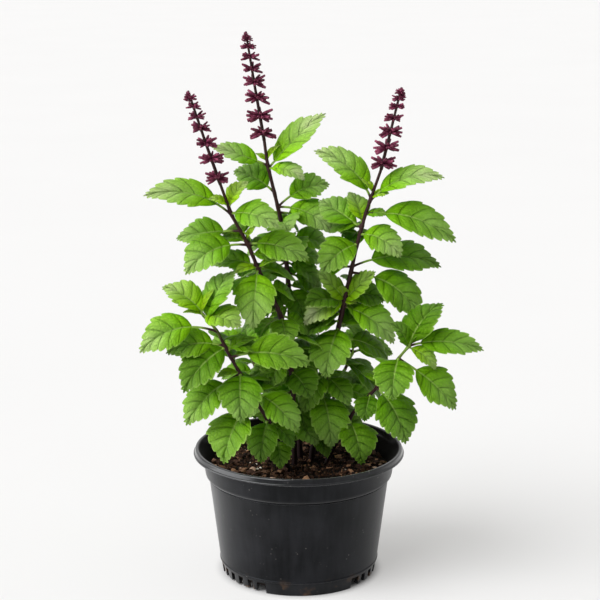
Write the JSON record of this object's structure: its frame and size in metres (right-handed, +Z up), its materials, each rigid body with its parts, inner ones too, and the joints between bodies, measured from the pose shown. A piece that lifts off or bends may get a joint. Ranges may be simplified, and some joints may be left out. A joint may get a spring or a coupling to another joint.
{
  "type": "potted basil plant",
  "caption": "Holy basil with toothed leaves and dark flower spikes, growing in soil in a round nursery pot with a rolled lip, a collar and a slotted foot.",
  "frame": {"origin": "centre of the pot's base, on the ground", "axes": "+Z up along the pot's axis; -Y towards the front, where the picture was taken from; +X to the right"},
  "size_m": [0.2288, 0.15, 0.3821],
  "materials": {
    "pot_plastic": "satin moulded black plastic, faintly mottled and dusty",
    "soil": "crumbly dark potting mix with bark chips and pale perlite",
    "foliage": "soft green leaf with sunken veins and a faint sheen",
    "flower_spike": "matt burgundy calyces on a dark purple axis"
  },
  "bodies": {
    "root": {"pot": "pot_plastic", "soil": "soil", "left_stem": "foliage", "centre_stem": "foliage", "right_stem": "foliage", "low_left_stem": "foliage", "low_right_stem": "foliage", "back_left_stem": "foliage", "back_right_stem": "foliage", "left_spike": "flower_spike", "centre_spike": "flower_spike", "right_spike": "flower_spike"}
  },
  "joints": []
}
